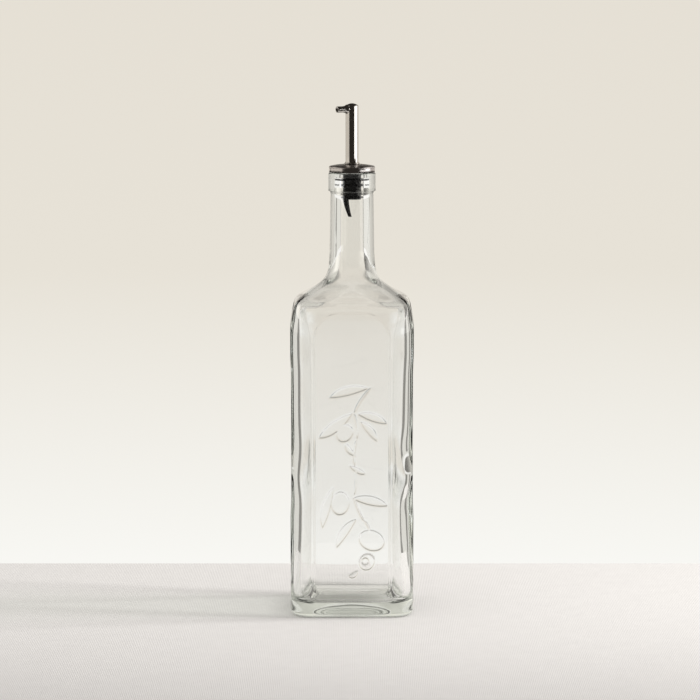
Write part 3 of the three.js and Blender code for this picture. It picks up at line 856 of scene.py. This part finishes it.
# Spout: a polished steel tube, closed by a low dome and flared where it meets the cap, with a short open
# nozzle drawn out of its side near the top. It was drawn and polished, with fine scratches from use.
SPOUT_R = 0.00415
SPOUT_BORE_R = 0.0033
SPOUT_TOP = LIP_TOP + 0.0423
DOME_TOP = LIP_TOP + 0.0438
SPOUT_BOTTOM = LIP_TOP - 0.0087
NOZZLE_R = 0.00195
NOZZLE_BORE_R = 0.00145
NOZZLE_REACH = 0.0111
NOZZLE_Z = LIP_TOP + 0.0401
NOZZLE_TURN = math.radians(30)


def spout_piece():
    """Tube outside from the bottom to the dome's middle and back down its bore: poles on the axis."""
    foot_low = at(0.0049, CAP_TOP + 0.0003)
    foot_high = at(0.0049, CAP_TOP + 0.0007)
    foot_top = at(SPOUT_R, CAP_TOP + 0.0018)
    shoulder = at(SPOUT_R, SPOUT_TOP)
    inside_top = at(SPOUT_BORE_R, SPOUT_TOP - 0.0006)
    rows = np.vstack([
        at(SPOUT_BORE_R, SPOUT_BOTTOM)[None],
        at(SPOUT_R, SPOUT_BOTTOM)[None],
        at(SPOUT_R, CAP_TOP + 0.0001)[None],
        foot_low[None],
        straight(foot_low, foot_high, 2),
        bend(foot_high, at(0.0043, CAP_TOP + 0.0009), foot_top, 6),
        straight(foot_top, at(SPOUT_R, SPOUT_TOP - 0.0002), 12),
        shoulder[None],
        bend(shoulder, at(SPOUT_R / 2, DOME_TOP), at(0, DOME_TOP), 12)[:-1],
    ])
    inside = np.vstack([
        at(SPOUT_BORE_R * 0.5, SPOUT_TOP)[None],
        inside_top[None],
    ])
    sides = 96
    turn = np.arange(sides) * 2 * math.pi / sides
    profile = np.vstack([rows, at(0, DOME_TOP)[None], at(0, SPOUT_TOP)[None], inside])
    pole_top, pole_inside = len(rows), len(rows) + 1
    points = []
    starts = []
    for index, (radius, height) in enumerate(profile):
        starts.append(len(points))
        if index in (pole_top, pole_inside):
            points.append((0, 0, height))
            continue
        points += [(radius * math.cos(t), radius * math.sin(t), height) for t in turn]
    faces = []
    for index in range(len(profile)):
        following = (index + 1) % len(profile)
        if (index, following) == (pole_top, pole_inside):
            continue
        a, b = starts[index], starts[following]
        for i in range(sides):
            j = (i + 1) % sides
            if following == pole_top:
                faces.append((a + i, a + j, b))
            elif index == pole_inside:
                faces.append((a, b + j, b + i))
            else:
                faces.append((a + i, a + j, b + j, b + i))
    return new_piece("spout_tube", points, faces)


def nozzle_piece():
    """The side nozzle: its foot flares out onto the tube like a drawn fillet, and its mouth is open."""
    sides = 64
    turn = np.arange(sides) * 2 * math.pi / sides
    outside = [(NOZZLE_REACH - 0.0002, NOZZLE_R), (NOZZLE_REACH - 0.0012, NOZZLE_R)]
    outside += [(0.0080, NOZZLE_R), (0.0066, NOZZLE_R + 0.00004), (0.0058, NOZZLE_R + 0.00014)]
    outside += [(0.0051, NOZZLE_R + 0.00034), (0.0046, NOZZLE_R + 0.00062)]
    inside = [(NOZZLE_REACH - 0.0001, NOZZLE_BORE_R), (NOZZLE_REACH - 0.003, NOZZLE_BORE_R)]
    rings = []
    foot_r = NOZZLE_R + 0.0010
    for reach, radius in [*inside[::-1], (NOZZLE_REACH, (NOZZLE_R + NOZZLE_BORE_R) / 2), *outside]:
        along = np.full(sides, reach)
        if radius > NOZZLE_R:
            sunk_by = SPOUT_R - np.sqrt(SPOUT_R ** 2 - (radius * np.cos(turn)) ** 2)
            along = along - sunk_by * (radius - NOZZLE_R) / (foot_r - NOZZLE_R)
        rings.append((along, radius))
    sunk_foot = np.sqrt((SPOUT_R - 0.00005) ** 2 - (foot_r * np.cos(turn)) ** 2)
    rings.append((sunk_foot, foot_r))
    rings.append((sunk_foot - 0.0004, NOZZLE_R))
    points = []
    out = np.array([-math.cos(NOZZLE_TURN), -math.sin(NOZZLE_TURN), 0])
    sideways = np.array([-out[1], out[0], 0])
    for along, radius in rings:
        for distance, t in zip(along, turn):
            across = sideways * radius * math.cos(t)
            points.append(out * distance + across + np.array([0, 0, NOZZLE_Z + radius * math.sin(t)]))
    faces = []
    for k in range(len(rings) - 1):
        for i in range(sides):
            j = (i + 1) % sides
            faces.append((k * sides + i, k * sides + j, (k + 1) * sides + j, (k + 1) * sides + i))
    last = (len(rings) - 1) * sides
    faces.append(tuple(range(sides))[::-1])
    faces.append(tuple(last + i for i in range(sides)))
    return new_piece("spout_nozzle", points, faces)


def polished_steel():
    material, tree, out = new_material("polished_steel")
    shader = add(tree, "ShaderNodeBsdfPrincipled", {"Metallic": 1.0})
    worn = marks(tree, 0.005, 1.5)
    mottled(tree, shader, worn, (0.66, 0.64, 0.61), (0.74, 0.72, 0.69))
    gloss = ranged(tree, worn, "Marks", 0.08, 0.16)
    wire(tree, gloss, "Result", shader, "Roughness")
    place = add(tree, "ShaderNodeTexCoord")
    drawn = add(tree, "ShaderNodeMapping", {"Scale": (2400.0, 2400.0, 60.0)})
    wire(tree, place, "Object", drawn, "Vector")
    scratches = add(tree, "ShaderNodeTexNoise", {"Scale": 1.0, "Detail": 2.0})
    wire(tree, drawn, "Vector", scratches, "Vector")
    bump = add(tree, "ShaderNodeBump", {"Strength": 0.05, "Distance": 0.00003})
    wire(tree, scratches, "Fac", bump, "Height")
    wire(tree, bump, "Normal", shader, "Normal")
    wire(tree, shader, "BSDF", out, "Surface")
    return material


steel = polished_steel()
tube = spout_piece()
nozzle = nozzle_piece()
tube.data.materials.append(steel)
nozzle.data.materials.append(steel)
spout = joined("steel_spout", [tube, nozzle])
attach(spout, "root")
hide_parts("pourer_spout")

# Table: a board under a pale linen cloth, whose far edge shows behind the bottle as a straight line and
# over whose rim the cloth hangs down. It only holds the bottle up and isn't part of it.
TABLE_BACK = 0.151
TABLE_FRONT = -0.3
TABLE_SIDE = 0.26
CLOTH_DROP = 0.25
RIM_R = 0.006


def table_piece():
    rim = bend(at(TABLE_BACK - RIM_R, 0), at(TABLE_BACK, 0), at(TABLE_BACK, -RIM_R), 6)
    section = np.vstack([
        at(TABLE_FRONT, -CLOTH_DROP)[None],
        at(TABLE_FRONT, 0)[None],
        at(TABLE_BACK - RIM_R, 0)[None],
        rim,
        at(TABLE_BACK, -CLOTH_DROP)[None],
    ])
    points = [(x, y, z) for x in (-TABLE_SIDE, TABLE_SIDE) for y, z in section]
    count = len(section)
    faces = [(k, k + 1, count + k + 1, count + k)[::-1] for k in range(count - 1)]
    return new_piece("cloth_table", points, faces)


def linen():
    material, tree, out = new_material("pale_linen")
    shader = add(tree, "ShaderNodeBsdfPrincipled", {"Roughness": 0.9, "Metallic": 0.0})
    place = add(tree, "ShaderNodeTexCoord")
    threads = []
    for axis in ("X", "Y"):
        wave = add(tree, "ShaderNodeTexWave", {
            "Scale": 290.0,
            "Distortion": 1.2,
            "Detail": 2.0,
            "Detail Scale": 2.0,
        }, bands_direction=axis)
        wire(tree, place, "Object", wave, "Vector")
        threads.append(wave)
    weave = add(tree, "ShaderNodeMath", operation="ADD")
    tree.links.new(threads[0].outputs["Fac"], weave.inputs[0])
    tree.links.new(threads[1].outputs["Fac"], weave.inputs[1])
    bump = add(tree, "ShaderNodeBump", {"Strength": 0.35, "Distance": 0.0002})
    wire(tree, weave, "Value", bump, "Height")
    wire(tree, bump, "Normal", shader, "Normal")
    slubs = marks(tree, 0.012, 1.0)
    mottled(tree, shader, slubs, (0.755, 0.742, 0.732), (0.815, 0.802, 0.790))
    wire(tree, shader, "BSDF", out, "Surface")
    return material


cloth_table = table_piece()
cloth_table.data.materials.append(linen())

# Studio: a pale backdrop, brightest at the table's height and greyer above. It isn't one room: the steel,
# the inside of the glass, its solid rims and matt surfaces each get surroundings of their own, told apart
# by how the light got there. A lamp at the right throws the shadow.
# Rise of the view and the backdrop's colour there
BACKDROP = [
    (-0.40, (0.40, 0.40, 0.38)),
    (-0.20, (0.96, 0.96, 0.93)),
    (-0.10, (0.80, 0.76, 0.68)),
    (0.15, (0.76, 0.71, 0.63)),
    (0.30, (0.25, 0.24, 0.22)),
]
DARK = (0.030, 0.026, 0.022, 1.0)
UNLIT = (0.008, 0.008, 0.007, 1.0)
PALE = (0.80, 0.75, 0.67)
GREY = (0.72, 0.67, 0.61)
DIM = (0.50, 0.47, 0.42)
WINDOW = (2.1, 2.05, 1.98)
FILL = (0.62, 0.60, 0.58, 1.0)
# What the steel and the plastic mirror: degrees round from the backdrop to the right, lowest and highest
# rise of the view there, colour
LIT = -0.095
ROOM = [
    (-18, 30, LIT, 0.09, PALE),
    (-18, 30, 0.09, 0.26, DIM),
    (-130, -47, LIT, 0.65, PALE),
    (-40, -18, LIT, 0.20, PALE),
    (30, 77, LIT, 0.80, GREY),
    (77.5, 108, LIT, 0.55, WINDOW),
    (108, 137, -0.105, 0.0, WINDOW),
]
# What shows mirrored inside the clear glass: pale walls, with dark cards stood between them to draw the
# bottle's edges. From the collar and stopper down to neck, body and base.
TOP = -0.05
COLLAR = -0.08
NECK = -0.10
BODY = -0.45
WALL = (0.75, 0.73, 0.68)
CARD = (0.25, 0.24, 0.22)
GLASS_ROOM = [
    (-75, 75, COLLAR, TOP, (0.95, 0.93, 0.90)),
    (-110, -75, COLLAR, TOP, (1.90, 1.90, 2.00)),
    (-130, 75, NECK, COLLAR, WALL),
    (-28, -12, NECK, COLLAR, CARD),
    (-181, 181, BODY, NECK, (0.32, 0.31, 0.29)),
    (-90, 130, BODY, NECK, WALL),
    (-75, -60, BODY, NECK, CARD),
    (28, 42, BODY, NECK, CARD),
    (60, 75, BODY, NECK, CARD),
    (-181, 181, -1.20, BODY, (0.30, 0.30, 0.28)),
]
# The same for views that rise more than TOP, by degrees only, up to the pale ceiling
WALLS = [(-180, 0.08), (-125, 0.10), (-90, 0.75), (-40, 1.05), (0, 0.60), (50, 0.20), (75, 0.15), (80, 1.20),
         (120, 1.20), (140, 0.08)]
CEILING = (0.65, 0.63, 0.57, 1.0)
CEILING_RISE = 0.42
CEILING_SOFT = 0.08
# Brightness beyond the solid rims of the neck and of the collar, by degrees round
RIM = [(-90, 0.30), (-45, 0.70), (0, 0.80), (55, 0.65), (90, 0.30)]
# The backdrop darkens beyond this many degrees to either side
BACKDROP_SIDE = 52.0
BACKDROP_SIDE_SOFT = 8.0
BACKDROP_SIDE_LOSS = 0.75
SOFT_DEGREES = 1.5
SOFT_HEIGHT = 0.0012


def studio_world():
    world = bpy.data.worlds.new("studio")
    world.use_nodes = True
    tree = world.node_tree
    tree.nodes.clear()
    out = add(tree, "ShaderNodeOutputWorld")
    place = add(tree, "ShaderNodeTexCoord")
    split = add(tree, "ShaderNodeSeparateXYZ")
    wire(tree, place, "Generated", split, "Vector")
    azimuth = add(tree, "ShaderNodeMath", operation="ARCTAN2")
    wire(tree, split, "X", azimuth, 0)
    wire(tree, split, "Y", azimuth, 1)
    degrees = add(tree, "ShaderNodeMath", {1: 180 / math.pi}, operation="MULTIPLY")
    wire(tree, azimuth, "Value", degrees, 0)
    height = split.outputs["Z"]
    turn = degrees.outputs["Value"]

    def blend(factor, a, b):
        node = add(tree, "ShaderNodeMix", data_type="RGBA")
        for socket, value in ((0, factor), (6, a), (7, b)):
            if isinstance(value, (float, tuple)):
                node.inputs[socket].default_value = value
            else:
                tree.links.new(value, node.inputs[socket])
        return node.outputs[2]

    def maths(operation, a, b):
        node = add(tree, "ShaderNodeMath", operation=operation)
        for socket, value in enumerate((a, b)):
            if isinstance(value, float):
                node.inputs[socket].default_value = value
            else:
                tree.links.new(value, node.inputs[socket])
        return node.outputs["Value"]

    def step(value, limit, soft):
        rise = add(tree, "ShaderNodeMapRange", {"From Min": limit - soft, "From Max": limit + soft})
        tree.links.new(value, rise.inputs["Value"])
        return rise.outputs["Result"]

    def panel(left, right, low, high):
        inside = maths("SUBTRACT", step(turn, left, SOFT_DEGREES), step(turn, right, SOFT_DEGREES))
        between = maths("SUBTRACT", step(height, low, SOFT_HEIGHT), step(height, high, SOFT_HEIGHT))
        return maths("MULTIPLY", inside, between)

    def lit(panels, shown):
        for left, right, low, high, colour in panels:
            shown = blend(panel(left, right, low, high), shown, (*colour, 1.0))
        return shown

    def wall_ramp(levels):
        return ramp(tree, turn, [(stop, (level, level * 0.96, level * 0.88)) for stop, level in levels])

    walls = blend(step(height, CEILING_RISE, CEILING_SOFT), wall_ramp(WALLS), CEILING)
    glass_room = blend(step(height, TOP, SOFT_HEIGHT), lit(GLASS_ROOM, UNLIT), walls)
    beside = step(maths("ABSOLUTE", turn, 0.0), BACKDROP_SIDE, BACKDROP_SIDE_SOFT)
    gradient = blend(maths("MULTIPLY", beside, BACKDROP_SIDE_LOSS), ramp(tree, height, BACKDROP), DARK)

    # Rays that cross the glass once or twice go through its solid rims, four times through the hollow body
    path = add(tree, "ShaderNodeLightPath")
    crossings = path.outputs["Transmission Depth"]
    in_glass = maths("GREATER_THAN", crossings, 0.5)
    reflected = maths("GREATER_THAN", maths("SUBTRACT", path.outputs["Ray Depth"], crossings), 1.5)
    solid_edge = maths("MULTIPLY", in_glass, maths("LESS_THAN", crossings, 2.5))
    shown = blend(solid_edge, gradient, wall_ramp(RIM))
    shown = blend(reflected, shown, blend(in_glass, lit(ROOM, DARK), glass_room))
    shown = blend(path.outputs["Is Diffuse Ray"], shown, FILL)
    background = add(tree, "ShaderNodeBackground")
    tree.links.new(shown, background.inputs["Color"])
    wire(tree, background, "Background", out, "Surface")
    return world


scene = bpy.context.scene
scene.world = studio_world()

window_light = bpy.data.lights.new("window_light", "AREA")
window_light.shape = "RECTANGLE"
window_light.size = 0.9
window_light.size_y = 0.9
window_light.energy = 101.0
window_light.color = (1.0, 0.985, 0.96)
window_holder = bpy.data.objects.new("window_light", window_light)
window_holder.location = (2.60, -0.04, 1.34)
towards_bottle = Vector((0, 0, 0.02)) - window_holder.location
window_holder.rotation_euler = towards_bottle.to_track_quat("-Z", "Y").to_euler()
window_holder.visible_camera = False
window_holder.visible_glossy = False
window_holder.visible_transmission = False
scene.collection.objects.link(window_holder)

# Camera: a long lens two metres back, a little above the bottle and looking slightly down at it.
LOOKING_DOWN = 7.154
camera_data = bpy.data.cameras.new("camera")
camera_data.lens = 170.43
camera_data.sensor_width = 36.0
camera = bpy.data.objects.new("camera", camera_data)
camera.location = (-0.00127, -2.1, 0.43)
camera.rotation_euler = (math.radians(90 - LOOKING_DOWN), 0, 0)
scene.collection.objects.link(camera)
scene.camera = camera
scene.view_settings.view_transform = "Standard"
scene.cycles.max_bounces = 24
scene.cycles.transmission_bounces = 24
scene.cycles.glossy_bounces = 12
scene.cycles.transparent_max_bounces = 24
